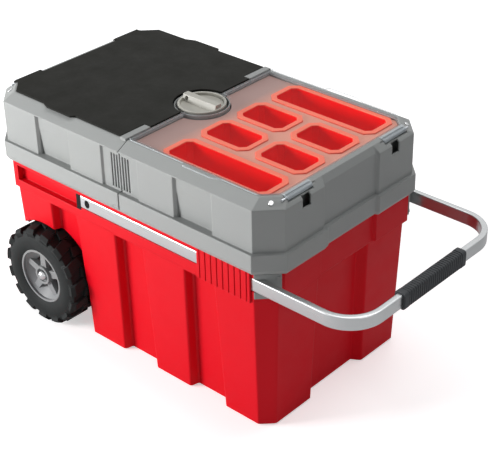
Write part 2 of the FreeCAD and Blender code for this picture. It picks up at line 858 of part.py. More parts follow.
def tray_shell():
    """Right tray without what differs between the two: walls, frame, compartment, grips and hinge seats."""
    half_space = block((seam_half, half_length + overrun), (-half_width - overrun, half_width + overrun),
                       (0, frame_top + overrun))
    outer = tray_envelope(0.0).cut(both_sides(front_recess(0.0))).common(half_space)
    hollow = tray_envelope(tray_wall).fuse(
        prism(skirt_plan(skirt_lip_inset + tray_wall), (lip_bottom - overrun, lip_bottom)))
    hollow = hollow.cut(both_sides(front_recess(tray_wall)))
    hollow = hollow.cut(tray_block(0.0, (tray_bottom, frame_top + overrun)))
    room = tray_block(tray_wall, (tray_bottom + tray_floor, frame_top + overrun))
    shell = fused([outer.cut(hollow), hinge_lugs().common(tray_envelope(0.0))]).cut(room)
    low, high = barrel_inner - slide_clearance, barrel_outer + slide_clearance
    pockets = both_sides(hinge_pocket((-high, -low)))
    notch_floor = hinge_z - barrel_radius - hinge_notch_depth
    notch = block((hinge_x + barrel_radius, half_length), (-hinge_notch_outer, -hinge_notch_inner),
                  (notch_floor, frame_top))
    return shell.cut(fused([pockets, both_sides(notch)] + hinge_pins()))


def hinge_pins():
    """Steel pins of the right tray's two hinges."""
    low = barrel_inner - slide_clearance - lug_thickness
    high = barrel_outer + slide_clearance + lug_thickness
    pin = rod(pin_radius, (hinge_x, low, hinge_z), (hinge_x, high, hinge_z))
    return [pin, across(pin)]


def stud_seats():
    """Points on the bevel over the right tray's two cut corners, with the bevel's outward normal."""
    lower, upper = skirt_plan(wall_setback), frame_plan()
    seats = []
    for first, second in ((1, 2), (7, 8)):
        quad = [Vector(*lower[first], wall_top), Vector(*lower[second], wall_top),
                Vector(*upper[second], frame_top), Vector(*upper[first], frame_top)]
        middle = (quad[0] + quad[1] + quad[2] + quad[3]) * 0.25
        normal = (quad[1] - quad[0]).cross(quad[3] - quad[0]).normalize()
        seats.append((middle, normal))
    return seats


def corner_studs():
    """Domed studs on the right tray's two corner bevels."""
    studs = []
    for middle, normal in stud_seats():
        stud = Part.makeCylinder(stud_radius, stud_height, middle, normal)
        top = middle + normal * stud_height
        rim = [edge for edge in stud.Edges if edge.CenterOfMass.distanceToPoint(top) < stud_height / 2]
        studs.append(stud.makeFillet(stud_round, rim))
    return studs


def seam_tongue(gap):
    """Tongue at the foot of the right skirt's front, past the seam; with a gap, the notch that takes it."""
    tongue = tray_envelope(0.0).cut(tray_envelope(skirt_wall))
    window = block((-tongue_reach - gap, seam_half), (-half_width - overrun, -collar_half),
                   (lip_bottom - overrun, collar_top + tongue_height + gap))
    if gap:
        return window
    return tongue.common(window)


def lock_cut(z_span, radius):
    return rod(radius, (0, 0, z_span[0]), (0, 0, z_span[1]))


def left_tray_node():
    """Left tray: the common shell, the pads at the seam and the shelf that carries the lock."""
    shell = endwise(tray_shell())
    pad = block((-strip_width, -seam_half), (-strip_outer, -strip_inner),
                (frame_top - tray_wall, frame_top + strip_rise))
    shelf = block((-lock_shelf_length, -seam_half), (-lock_shelf_half, lock_shelf_half),
                  (lock_seat - lock_shelf_thickness, lock_seat))
    gusset = block((-lock_shelf_length, -seam_half), (-lock_shelf_half, -lock_shelf_half + tray_wall),
                   (lock_seat - gusset_height, lock_seat))
    shell = fused([shell, both_sides(pad), shelf, both_sides(gusset)])
    well = lock_cut((lock_seat, frame_top + overrun), lock_radius + lock_gap)
    sweep = lock_cut((lock_under, lock_seat - lock_shelf_thickness), hook_outer + lock_gap)
    bore = lock_cut((lock_seat - overrun, lock_seat), cam_hub_radius)
    notch = both_sides(seam_tongue(slide_clearance))
    screws = fused(lock_screws(0.0))
    return shell.cut(fused([well, sweep, bore, notch, screws]))


def deck_ledges():
    """Ledges on the right tray's long walls, under the organizer deck."""
    low = deck_top - deck_thickness - deck_ledge_height
    inner = tray_half - tray_wall
    return both_sides(block((seam_half, tray_end - tray_corner), (-inner, -inner + deck_ledge),
                            (low, low + deck_ledge_height)))


def right_tray_node():
    """Right tray: the common shell, the tongue past the seam, the deck's ledges and the lock's notch."""
    shell = fused([tray_shell(), both_sides(seam_tongue(0.0)), deck_ledges()])
    well = lock_cut((lock_under, frame_top + overrun), lock_radius + lock_gap)
    return shell.cut(well)


def striker_node():
    """Steel striker on the right tray's seam wall, with the post that the cam's hook goes round."""
    inner = seam_half + tray_wall
    top, arm_low = lock_under, lock_under - striker_plate
    plate = block((inner, inner + striker_plate), (-striker_half, striker_half), (top - striker_drop, top))
    arm = block((inner, striker_x + striker_radius), (-striker_radius, striker_radius), (arm_low, top))
    post = rod(striker_radius, (striker_x, 0, arm_low), (striker_x, 0, cam_top))
    return fused([plate, arm, post])


def lid_plan(seam, notched):
    """Plan of the right lid: side tabs, cut corners at its end, hinge arms and maybe notches at the seam."""
    y = frame_half
    side = [(tab_inner - tab_slope_inner, y), (tab_inner, y + tab_reach), (tab_outer, y + tab_reach),
            (tab_outer + tab_slope_outer, y), (lid_end - lid_corner, y), (lid_end, y - lid_corner),
            (lid_end, barrel_outer), (hinge_x, barrel_outer),
            (hinge_x, barrel_inner), (lid_end, barrel_inner)]
    inner = strip_width + slide_clearance
    start = [(seam, strip_inner - slide_clearance), (inner, strip_inner - slide_clearance), (inner, y)]
    if not notched:
        start = [(seam, y)]
    upper = start + side
    return [(x, -py) for x, py in upper] + upper[::-1]


def hinge_barrels():
    """Barrels of the right lid round its hinge pins."""
    barrel = rod(barrel_radius, (hinge_x, barrel_inner, hinge_z), (hinge_x, barrel_outer, hinge_z))
    return [barrel, across(barrel)]


def lid(seam, notched):
    """Right lid: plate, locating flange under it and hinge barrels, cut round the lock."""
    plan = lid_plan(seam, notched)
    plate = prism(plan, (lid_bottom, lid_top))
    inset = tray_wall + lid_flange_gap
    flange_span = (lid_bottom - lid_flange_depth, lid_bottom)
    flange = tray_block(inset, flange_span).cut(tray_block(inset + lid_flange_wall, flange_span))
    flange = flange.common(prism(plan, flange_span))
    solid = fused([plate, flange] + hinge_barrels())
    solid = solid.cut(lock_cut((lock_seat, lid_top + overrun), lock_radius + lock_gap))
    if notched:
        pad = block((0, strip_width + slide_clearance), (-half_width, -strip_inner + slide_clearance),
                    (lid_bottom - lid_flange_depth, lid_top))
        solid = solid.cut(both_sides(pad))
    reach = barrel_outer + lug_thickness
    bore = rod(pin_radius + running_clearance, (hinge_x, -reach, hinge_z), (hinge_x, reach, hinge_z))
    return solid.cut(bore)


def black_lid_node():
    return endwise(lid(black_lid_seam, True))


def clear_lid_node():
    """Clear lid, with a raised lip along the seam."""
    y = frame_half
    lip = block((clear_lid_seam, clear_lid_seam + clear_lip_width), (-y, y),
                (lid_bottom, lid_top + clear_lip_rise))
    solid = fused([lid(clear_lid_seam, False), lip])
    return solid.cut(lock_cut((lock_seat, lid_top + overrun), lock_radius + lock_gap))


def cup_spans():
    """Rims of the six cups by name: limits along X and along Y."""
    row = cup_width + cup_gap_y
    rows = [row * (i - 1.5) for i in range(4)]
    first, second = cup_first_x, cup_first_x + cup_length + cup_gap_x
    end = second + cup_length
    y_span = [(y - cup_width / 2, y + cup_width / 2) for y in rows]
    whole, left, right = (first, end), (first, first + cup_length), (second, end)
    return {"front_long_cup": (whole, y_span[0]), "rear_long_cup": (whole, y_span[3]),
            "front_left_cup": (left, y_span[1]), "front_right_cup": (right, y_span[1]),
            "rear_left_cup": (left, y_span[2]), "rear_right_cup": (right, y_span[2])}


def cup_plan(spans, inset):
    (x0, x1), (y0, y1) = spans
    c = cup_corner
    outline = [(x0 + c, y0), (x1 - c, y0), (x1, y0 + c), (x1, y1 - c),
               (x1 - c, y1), (x0 + c, y1), (x0, y1 - c), (x0, y0 + c)]
    return grown(outline, -inset)


def cup_node(spans):
    """Removable cup: tapered walls, flat rim that rests on the deck."""
    rim_top = deck_top + cup_rim_thickness
    floor = rim_top - cup_depth
    rim_plate = prism(cup_plan(spans, 0.0), (deck_top, rim_top))
    body = loft([(cup_plan(spans, cup_rim + cup_taper), floor), (cup_plan(spans, cup_rim), rim_top)])
    deep = cup_rim + cup_taper * (cup_depth - cup_wall) / cup_depth + cup_wall
    room = loft([(cup_plan(spans, deep), floor + cup_wall), (cup_plan(spans, cup_rim + cup_wall), rim_top)])
    return fused([rim_plate, body]).cut(room)


def deck_node():
    """Organizer deck: a plate over the right tray's compartment with an opening for each cup."""
    deck = tray_block(tray_wall + deck_gap, (deck_top - deck_thickness, deck_top))
    holes = [prism(cup_plan(spans, cup_rim - deck_gap), (deck_top - overrun, deck_top + overrun))
             for spans in cup_spans().values()]
    return deck.cut(fused(holes + [lock_cut((lock_seat - overrun, frame_top), lock_radius + lock_gap)]))


def lock_screws(head):
    """Screws of the lock plate into the left tray's shelf; heads are left off for the holes."""
    screws = []
    for side in (-1, 1):
        x, y = -lock_screw_offset, side * lock_screw_offset
        screw = rod(lock_screw_radius / 2, (x, y, lock_seat - lock_shelf_thickness), (x, y, lock_floor))
        if head:
            screw = screw.fuse(rod(lock_screw_radius, (x, y, lock_floor), (x, y, lock_floor + head)))
        screws.append(screw)
    return screws


def lock_plate_node():
    """Round plate with a raised ring, on the left tray's shelf; it carries the knob's shaft."""
    plate = lock_cut((lock_seat, lid_bottom), lock_radius)
    plate = plate.cut(lock_cut((lock_floor, lid_bottom), lock_radius - lock_ring_wall))
    bore = lock_cut((lock_seat, lock_floor), shaft_radius + running_clearance)
    return plate.cut(fused([bore] + lock_screws(0.0)))


def knob_node():
    """Round knob with a bar across it, an eye for a padlock and a shaft through the lock plate."""
    low = lock_floor + lock_screw_height + knob_lift
    disc = lock_cut((low, low + knob_height), knob_radius)
    edge = [e for e in disc.Edges if e.BoundBox.ZMin > low + knob_height / 2]
    disc = disc.makeFillet(knob_round, edge)
    base, top = knob_bar_width / 2, knob_bar_width / 2 - knob_bar_slant
    bar_top = low + knob_height + knob_bar_height
    knee = low + knob_height
    bar = along_x([(-base, low), (base, low), (base, knee), (top, bar_top), (-top, bar_top), (-base, knee)],
                  (-knob_radius, knob_radius))
    bar = bar.common(lock_cut((low, bar_top), knob_radius - knob_bar_end))
    eye_z = low + knob_height + knob_bar_height / 2
    eye_x = -knob_radius + eye_inset
    eye = rod(eye_radius, (eye_x, -knob_radius, eye_z), (eye_x, knob_radius, eye_z))
    shaft = lock_cut((cam_top, low), shaft_radius)
    return fused([disc, bar, shaft]).cut(eye)


def cam_node():
    """Cam under the shelf: a hub and a hook that swings round the striker's post as the knob turns."""
    hub = lock_cut((cam_bottom, cam_top), cam_hub_radius)
    base = Vector(0, 0, cam_bottom)
    hook = Part.makeCylinder(hook_outer, cam_thickness, base, Vector(0, 0, 1), hook_angle)
    hook = hook.cut(Part.makeCylinder(hook_inner, cam_thickness, base, Vector(0, 0, 1), hook_angle))
    spoke = block((0, (hook_inner + hook_outer) / 2), (0, hook_spoke), (cam_bottom, cam_top))
    arm = fused([hook, spoke])
    arm.rotate(Vector(), Vector(0, 0, 1), hook_rest)
    return fused([hub, arm])


def cam_screw_node():
    return lock_cut((cam_bottom - cam_screw_height, cam_bottom), cam_screw_radius)


def nodes():
    """Every node of the box by name."""
    rail, runner, cage, balls = rail_node(), runner_node(), cage_node(), balls_node()
    slider, guide = slider_node(), guide_node()
    tyre, rim, bush, cap = tyre_node(), rim_node(), bush_node(), axle_cap()
    rail_screws = [rail_screw(x, side, rail_screw_head) for x in rail_screw_places() for side in (-1, 1)]
    pins, studs, screws = hinge_pins(), corner_studs(), guide_screws(guide_screw_height)
    made = {
        "bin": bin_node(),
        "front_handle_guide": guide, "rear_handle_guide": across(guide),
        "guide_screws": Part.makeCompound(screws + [across(screw) for screw in screws]),
        "axle": axle_node(), "axle_caps": Part.makeCompound([cap, across(cap)]),
        "front_rail": rail, "rear_rail": across(rail), "rail_screws": Part.makeCompound(rail_screws),
        "handle_tube": handle_tube_node(), "handle_grip": grip_node(),
        "front_handle_slider": slider, "rear_handle_slider": across(slider),
        "front_tyre": tyre, "rear_tyre": across(tyre), "front_rim": rim, "rear_rim": across(rim),
        "front_bush": bush, "rear_bush": across(bush),
        "left_tray": left_tray_node(), "right_tray": right_tray_node(),
        "right_front_runner": runner, "right_rear_runner": across(runner),
        "left_front_runner": endwise(runner), "left_rear_runner": endwise(across(runner)),
        "right_front_cage": cage, "right_rear_cage": across(cage),
        "left_front_cage": endwise(cage), "left_rear_cage": endwise(across(cage)),
        "right_front_balls": balls, "right_rear_balls": across(balls),
        "left_front_balls": endwise(balls), "left_rear_balls": endwise(across(balls)),
        "right_hinge_pins": Part.makeCompound(pins), "left_hinge_pins": endwise(Part.makeCompound(pins)),
        "right_corner_studs": Part.makeCompound(studs),
        "left_corner_studs": endwise(Part.makeCompound(studs)),
        "black_lid": black_lid_node(), "clear_lid": clear_lid_node(), "organizer_deck": deck_node(),
        "lock_plate": lock_plate_node(), "lock_screws": Part.makeCompound(lock_screws(lock_screw_height)),
        "lock_knob": knob_node(), "lock_cam": cam_node(), "cam_screw": cam_screw_node(),
        "lock_striker": striker_node(),
    }
    for name, spans in cup_spans().items():
        made[name] = cup_node(spans)
    return made


os.makedirs("parts", exist_ok=True)
for name, shape in nodes().items():
    shape.exportStep("parts/" + name + ".step")
    print(name, len(shape.Solids), shape.isValid(), round(shape.Volume))
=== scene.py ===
import math

import bpy
from mathutils import Matrix, Vector
from mathutils.bvhtree import BVHTree


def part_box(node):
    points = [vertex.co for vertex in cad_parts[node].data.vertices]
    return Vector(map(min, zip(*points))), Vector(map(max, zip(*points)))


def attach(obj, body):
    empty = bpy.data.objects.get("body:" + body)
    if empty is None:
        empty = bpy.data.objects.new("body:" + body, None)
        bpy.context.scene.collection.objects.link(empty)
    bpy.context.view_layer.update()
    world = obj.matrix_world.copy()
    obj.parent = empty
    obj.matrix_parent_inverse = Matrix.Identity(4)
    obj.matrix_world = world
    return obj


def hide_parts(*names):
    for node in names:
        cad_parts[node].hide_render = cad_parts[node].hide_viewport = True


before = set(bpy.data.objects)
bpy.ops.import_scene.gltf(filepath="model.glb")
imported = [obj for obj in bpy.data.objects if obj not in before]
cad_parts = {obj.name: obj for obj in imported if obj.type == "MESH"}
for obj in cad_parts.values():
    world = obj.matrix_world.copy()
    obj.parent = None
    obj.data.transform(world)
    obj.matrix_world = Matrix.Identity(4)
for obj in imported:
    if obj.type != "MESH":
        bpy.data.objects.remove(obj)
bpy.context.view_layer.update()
MM = 0.001

# Tub: the deep red box that everything else is fixed to. Injection-moulded polypropylene in one piece, so
# its walls have a fine grain, an even satin gloss and small rounded edges where the mould's faces meet.

polypropylene_ior = 1.49
mix_first, mix_second, mix_result = 6, 7, 2  # a Mix node's colour sockets, which only a number tells apart
tone_patch, tone_from, tone_to, tone_most = 180, 0.35, 0.8, 0.5
rubbed_patch, rubbed_from, rubbed_to, rubbed_glossier, rubbed_duller = 35, 0.3, 0.7, 0.06, 0.08
grain_strength, edge_samples = 0.6, 6


def linear(hex_colour):
    """An sRGB hex colour as the linear RGBA that a shader's socket takes."""
    channels = [int(hex_colour[i:i + 2], 16) / 255 for i in (0, 2, 4)]
    return [c / 12.92 if c <= 0.04045 else ((c + 0.055) / 1.055) ** 2.4 for c in channels] + [1.0]


def add_node(tree, kind, settings, inputs):
    """One shader node with its settings, and its inputs set to values or linked to other nodes' outputs."""
    node = tree.nodes.new(kind)
    for name, value in settings.items():
        setattr(node, name, value)
    for name, value in inputs.items():
        if isinstance(value, bpy.types.NodeSocket):
            tree.links.new(value, node.inputs[name])
        else:
            node.inputs[name].default_value = value
    return node


def new_material(name):
    """An empty material, its node tree and the object coordinates that its patterns read."""
    material = bpy.data.materials.new(name)
    material.use_nodes = True
    tree = material.node_tree
    tree.nodes.clear()
    place = add_node(tree, "ShaderNodeTexCoord", {}, {}).outputs["Object"]
    return material, tree, place


def moulded_plastic(name, colour, dusty, roughness, grain, grain_height, ior, sheen_level=0.3, edge=0.4):
    """Moulded plastic: a broad unevenness of tone, rubbed patches, the mould's grain as relief, soft edges."""
    material, tree, place = new_material(name)
    broad = add_node(tree, "ShaderNodeTexNoise", {}, {
        "Vector": place, "Scale": 1 / (tone_patch * MM), "Detail": 4.0})
    tone = add_node(tree, "ShaderNodeMapRange", {}, {
        "Value": broad.outputs["Fac"], "From Min": tone_from, "From Max": tone_to, "To Min": 0.0,
        "To Max": tone_most})
    mix = add_node(tree, "ShaderNodeMix", {"data_type": "RGBA"}, {
        "Factor": tone.outputs["Result"], mix_first: linear(colour), mix_second: linear(dusty)})
    rubbed = add_node(tree, "ShaderNodeTexNoise", {}, {
        "Vector": place, "Scale": 1 / (rubbed_patch * MM), "Detail": 6.0, "Roughness": 0.65})
    gloss = add_node(tree, "ShaderNodeMapRange", {}, {
        "Value": rubbed.outputs["Fac"], "From Min": rubbed_from, "From Max": rubbed_to,
        "To Min": roughness - rubbed_glossier, "To Max": roughness + rubbed_duller})
    fine = add_node(tree, "ShaderNodeTexNoise", {}, {
        "Vector": place, "Scale": 1 / (grain * MM), "Detail": 2.0})
    soft = add_node(tree, "ShaderNodeBevel", {"samples": edge_samples}, {"Radius": edge * MM})
    relief = add_node(tree, "ShaderNodeBump", {}, {
        "Height": fine.outputs["Fac"], "Distance": grain_height * MM, "Strength": grain_strength,
        "Normal": soft.outputs["Normal"]})
    surface = add_node(tree, "ShaderNodeBsdfPrincipled", {}, {
        "Base Color": mix.outputs[mix_result], "Roughness": gloss.outputs["Result"], "IOR": ior,
        "Specular IOR Level": sheen_level, "Normal": relief.outputs["Normal"]})
    add_node(tree, "ShaderNodeOutputMaterial", {}, {"Surface": surface.outputs["BSDF"]})
    return material


def coated(material, *nodes):
    """CAD nodes that keep their own shape, in a finished material."""
    for node in nodes:
        for place_of_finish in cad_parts[node].material_slots:
            place_of_finish.material = material


red_polypropylene = moulded_plastic(
    "red_polypropylene", "CA0014", "CE0A1F", roughness=0.42, grain=3.0, grain_height=0.05,
    ior=polypropylene_ior, sheen_level=0.14, edge=1.8)
coated(red_polypropylene, "bin")

# Trays: the grey upper half of the box in two mouldings that slide apart. Polypropylene with a metallic grey
# masterbatch, so it is a little glossier than the tub, with the flow of the melt just showing in its tone.
# Copies of the nodes have the slanted flanks beside their panels and the open seam cut into them.

smooth_angle, flat_angle, weld_distance = 14, 0.5, 0.005
panel_face, skirt_face = 183.4, 189.0
skirt_bottom, band_top, wall_top = 291.0, 325.5, 393.5
recess_from, recess_to, recess_depth = 118.0, 188.0, 4.0
seam_zone, seam_zone_depth, seam_half, seam_depth = 37.0, 3.0, 1.3, 2.0
past = 1.0


def plain_copy(node):
    """A CAD node's own copy as the active object, with its triangles joined to quads."""
    piece = bpy.data.objects.new(node + "_piece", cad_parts[node].data.copy())
    bpy.context.scene.collection.objects.link(piece)
    bpy.ops.object.select_all(action="DESELECT")
    piece.select_set(True)
    bpy.context.view_layer.objects.active = piece
    bpy.ops.object.mode_set(mode="EDIT")
    bpy.ops.mesh.select_all(action="SELECT")
    bpy.ops.mesh.remove_doubles(threshold=weld_distance * MM)
    bpy.ops.mesh.tris_convert_to_quads(face_threshold=math.radians(flat_angle),
                                       shape_threshold=math.radians(180))
    bpy.ops.object.mode_set(mode="OBJECT")
    bpy.ops.mesh.customdata_custom_splitnormals_clear()
    bpy.ops.object.shade_smooth_by_angle(angle=math.radians(smooth_angle))
    return piece


def strays(piece, node, limit):
    """Whether the rounding threw a corner off the surface of the CAD node."""
    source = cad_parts[node].data
    surface = BVHTree.FromPolygons([v.co for v in source.vertices], [face.vertices for face in source.polygons])
    return any(surface.find_nearest(v.co)[3] > limit for v in piece.data.vertices)


def rounded_copy(node, radius, segments=2, angle=30):
    """A CAD node's copy with its sharp edges rounded, or rounded less where a corner would stray."""
    for width in (radius, radius / 2, radius / 4):
        piece = plain_copy(node)
        bevel = piece.modifiers.new("edges", "BEVEL")
        bevel.width = width * MM
        bevel.segments = segments
        bevel.limit_method = "ANGLE"
        bevel.angle_limit = math.radians(angle)
        bevel.use_clamp_overlap = False
        bevel.loop_slide = False
        bevel.harden_normals = True
        bpy.ops.object.modifier_apply(modifier=bevel.name)
        if not strays(piece, node, radius / 2 * MM):
            break
        bpy.data.objects.remove(piece)
    else:
        piece = plain_copy(node)
    return piece


def finished(piece, material, node, body):
    """The piece in its material, in the place of its CAD node and moving with its body."""
    piece.data.materials.clear()
    piece.data.materials.append(material)
    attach(piece, body)
    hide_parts(node)


def cut_out(piece, cutter):
    """Takes the space of a cutter out of a piece, and removes the cutter."""
    cut = piece.modifiers.new("cut", "BOOLEAN")
    cut.object = cutter
    cut.solver = "EXACT"
    bpy.context.view_layer.objects.active = piece
    bpy.ops.object.modifier_apply(modifier=cut.name)
    bpy.data.objects.remove(cutter)


def upright(plan, low, high):
    """A closed prism over a plan in millimetres, between two heights."""
    count = len(plan)
    corners = [(x * MM, y * MM, z * MM) for z in (low, high) for x, y in plan]
    sides = [(i, (i + 1) % count, (i + 1) % count + count, i + count) for i in range(count)]
    mesh = bpy.data.meshes.new("prism")
    mesh.from_pydata(corners, [], sides + [range(count), range(count, 2 * count)])
    prism = bpy.data.objects.new("prism", mesh)
    bpy.context.scene.collection.objects.link(prism)
    bpy.ops.object.select_all(action="DESELECT")
    prism.select_set(True)
    bpy.context.view_layer.objects.active = prism
    bpy.ops.object.mode_set(mode="EDIT")
    bpy.ops.mesh.select_all(action="SELECT")
    bpy.ops.mesh.normals_make_consistent(inside=False)
    bpy.ops.object.mode_set(mode="OBJECT")
    return prism


def flanked_zone(side, start, end, depth):
    """A recess in a tray's long wall whose ends slant by as much as it is deep."""
    outer, inner, slant = side * (panel_face + past), side * (panel_face - depth), depth + past
    plan = [(start - slant, outer), (end + slant, outer), (end, inner), (start, inner)]
    return upright(plan, band_top, wall_top)


def seam_groove(side, face, low, high):
    """A groove along the seam in both trays' edges."""
    outer, inner = side * (face + past), side * (face - seam_depth)
    plan = [(-seam_half, outer), (seam_half, outer), (seam_half, inner), (-seam_half, inner)]
    return upright(plan, low, high)


grey_polypropylene = moulded_plastic(
    "grey_polypropylene", "919392", "989A97", roughness=0.38, grain=2.5, grain_height=0.04,
    ior=polypropylene_ior, sheen_level=0.26, edge=2.6)
for node, end in (("left_tray", -1), ("right_tray", 1)):
    tray = rounded_copy(node, 0.7)
    recess = sorted((end * recess_from, end * recess_to))
    for side in (-1, 1):
        cut_out(tray, flanked_zone(side, recess[0], recess[1], recess_depth))
        cut_out(tray, flanked_zone(side, -seam_zone, seam_zone, seam_zone_depth))
        cut_out(tray, seam_groove(side, panel_face - seam_zone_depth, band_top, wall_top))
        cut_out(tray, seam_groove(side, skirt_face, skirt_bottom, band_top))
    finished(tray, grey_polypropylene, node, node)

# Handle guides: two grey plates screwed to the right-hand corners of the collar, where the arms come out.
# They are moulded in the same grey plastic as the trays, and their screws are painted to match.

for node in ("front_handle_guide", "rear_handle_guide"):
    finished(rounded_copy(node, 0.6), grey_polypropylene, node, "base")
coated(grey_polypropylene, "guide_screws")

# Steel: the slides, screws, axle, hinge pins, cam and striker are zinc-plated, which leaves a slightly cloudy
# bright finish with faint drawing lines along each piece.

zinc_cloud, zinc_lines = 9, (8.0, 400.0, 400.0)
zinc_glossiest, zinc_dullest = 0.22, 0.45

zinc_steel, tree, place = new_material("zinc_plated_steel")
cloud = add_node(tree, "ShaderNodeTexNoise", {}, {
    "Vector": place, "Scale": 1 / (zinc_cloud * MM), "Detail": 5.0})
tint = add_node(tree, "ShaderNodeMix", {"data_type": "RGBA"}, {
    "Factor": cloud.outputs["Fac"], mix_first: linear("AEB2B6"), mix_second: linear("C9CCCF")})
lines = add_node(tree, "ShaderNodeMapping", {}, {"Vector": place, "Scale": zinc_lines})
drawn = add_node(tree, "ShaderNodeTexNoise", {}, {
    "Vector": lines.outputs["Vector"], "Scale": 1.0, "Detail": 3.0})
gloss = add_node(tree, "ShaderNodeMapRange", {}, {
    "Value": drawn.outputs["Fac"], "To Min": zinc_glossiest, "To Max": zinc_dullest})
surface = add_node(tree, "ShaderNodeBsdfPrincipled", {}, {
    "Base Color": tint.outputs[mix_result], "Metallic": 1.0, "Roughness": gloss.outputs["Result"]})
add_node(tree, "ShaderNodeOutputMaterial", {}, {"Surface": surface.outputs["BSDF"]})
coated(zinc_steel, "axle", "rail_screws", "front_rail", "rear_rail", "left_front_runner", "left_rear_runner",
       "right_front_runner", "right_rear_runner", "left_hinge_pins", "right_hinge_pins", "left_front_balls",
       "left_rear_balls", "right_front_balls", "right_rear_balls", "lock_screws", "lock_cam", "cam_screw",
       "lock_striker")

# Bright pieces: the domed nuts on the axle's ends and the studs on the corner bevels, pressed in steel sheet
# and nickel plated, so they mirror the room.

nickel_cloud, nickel_glossiest, nickel_dullest = 4, 0.15, 0.3

bright_nickel, tree, place = new_material("bright_nickel_plate")
cloud = add_node(tree, "ShaderNodeTexNoise", {}, {
    "Vector": place, "Scale": 1 / (nickel_cloud * MM), "Detail": 3.0})
gloss = add_node(tree, "ShaderNodeMapRange", {}, {
    "Value": cloud.outputs["Fac"], "To Min": nickel_glossiest, "To Max": nickel_dullest})
surface = add_node(tree, "ShaderNodeBsdfPrincipled", {}, {
    "Base Color": linear("C4C5C6"), "Metallic": 1.0, "Roughness": gloss.outputs["Result"]})
add_node(tree, "ShaderNodeOutputMaterial", {}, {"Surface": surface.outputs["BSDF"]})
coated(bright_nickel, "axle_caps", "left_corner_studs", "right_corner_studs")

# Black nylon: the wheel bushes, the sliders in the handle's ends and the ball cages. They are moulded without
# a finish, so they stay dull and nearly black.

nylon_ior = 1.53
black_nylon = moulded_plastic("black_nylon", "131313", "1A1A1A", roughness=0.5, grain=1.5, grain_height=0.03,
                              ior=nylon_ior, sheen_level=0.08)
coated(black_nylon, "front_bush", "rear_bush", "front_handle_slider", "rear_handle_slider", "left_front_cage",
       "left_rear_cage", "right_front_cage", "right_rear_cage")

# Wheels: a blow-moulded rubber tyre with two rows of lugs on a spoked plastic rim. The rubber is dull, with the
# greyish bloom that new tyres have. The rim is satin grey, and a cone leads in from its lip to the spokes.

rubber_ior = 1.52
tyre_rubber = moulded_plastic("tyre_rubber", "1F2121", "2C2E2E", roughness=0.62, grain=2.2, grain_height=0.08,
                              ior=rubber_ior, sheen_level=0.1)
rim_plastic = moulded_plastic("wheel_polypropylene", "77787A", "84857F", roughness=0.42, grain=2.0,
                              grain_height=0.03, ior=polypropylene_ior)
turned_steps, turned_angle = 96, 30
dish_outer, dish_inner, dish_start, dish_depth, dish_wall = 45.5, 31.0, 4.0, 13.0, 2.0


def walled(thickness, outwards):
    """The open shape that was just added, with a wall that grows outwards (1) or inwards (-1)."""
    shell = bpy.context.object
    wall = shell.modifiers.new("wall", "SOLIDIFY")
    wall.thickness = thickness * MM
    wall.offset = outwards
    bpy.ops.object.modifier_apply(modifier=wall.name)
    return shell


def joined_to(piece):
    """Smooths the shape that was just added and joins it to a piece."""
    bpy.ops.object.shade_smooth_by_angle(angle=math.radians(turned_angle))
    piece.select_set(True)
    bpy.context.view_layer.objects.active = piece
    bpy.ops.object.join()


def dished_rim(node, outward):
    """The copy of a rim with the cone between its lip and its spokes."""
    rim = rounded_copy(node, 0.7)
    low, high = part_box(node)
    face = low[1] if outward < 0 else high[1]
    inset = (dish_start + dish_depth / 2) * MM
    middle = ((low[0] + high[0]) / 2, face - outward * inset, (low[2] + high[2]) / 2)
    bpy.ops.mesh.primitive_cone_add(vertices=turned_steps, radius1=dish_outer * MM, radius2=dish_inner * MM,
                                    depth=dish_depth * MM, end_fill_type="NOTHING", location=middle,
                                    rotation=(outward * math.pi / 2, 0, 0))
    walled(dish_wall, 1.0)
    joined_to(rim)
    return rim


for side, outward in (("front", -1), ("rear", 1)):
    tyre = rounded_copy(side + "_tyre", 1.6, segments=3)
    finished(tyre, tyre_rubber, side + "_tyre", side + "_wheel")
    finished(dished_rim(side + "_rim", outward), rim_plastic, side + "_rim", side + "_wheel")

# Handle: rectangular aluminium tube bent to a U, satin anodised, with the drawing lines of the tube along it.
# An upright oval hole is sunk into the outer side of each arm, over the button that holds it.

drawn_lines, drawn_height, drawn_strength = (12.0, 12.0, 700.0), 0.02, 0.4
anodised_glossiest, anodised_dullest = 0.22, 0.38
button_x, button_y, button_z = -87.0, 180.0, 269.5
button_width, button_height, button_depth, button_steps = 11.5, 14.0, 3.6, 48

anodised, tree, place = new_material("anodised_aluminium")
stretch = add_node(tree, "ShaderNodeMapping", {}, {"Vector": place, "Scale": drawn_lines})
drawn = add_node(tree, "ShaderNodeTexNoise", {}, {
    "Vector": stretch.outputs["Vector"], "Scale": 1.0, "Detail": 4.0})
gloss = add_node(tree, "ShaderNodeMapRange", {}, {
    "Value": drawn.outputs["Fac"], "To Min": anodised_glossiest, "To Max": anodised_dullest})
relief = add_node(tree, "ShaderNodeBump", {}, {
    "Height": drawn.outputs["Fac"], "Distance": drawn_height * MM, "Strength": drawn_strength})
surface = add_node(tree, "ShaderNodeBsdfPrincipled", {}, {
    "Base Color": linear("BFC1C2"), "Metallic": 1.0, "Roughness": gloss.outputs["Result"],
    "Normal": relief.outputs["Normal"]})
add_node(tree, "ShaderNodeOutputMaterial", {}, {"Surface": surface.outputs["BSDF"]})
tube = rounded_copy("handle_tube", 0.3, segments=2, angle=40)
for side in (-1, 1):
    bpy.ops.mesh.primitive_cylinder_add(
        vertices=button_steps, radius=button_width / 2 * MM, depth=button_depth * MM,
        rotation=(math.pi / 2, 0, 0), location=(button_x * MM, side * button_y * MM, button_z * MM))
    oval = bpy.context.object
    oval.scale = (1.0, button_height / button_width, 1.0)
    bpy.ops.object.transform_apply(location=True, rotation=True, scale=True)
    cut_out(tube, oval)
finished(tube, anodised, "handle_tube", "handle")

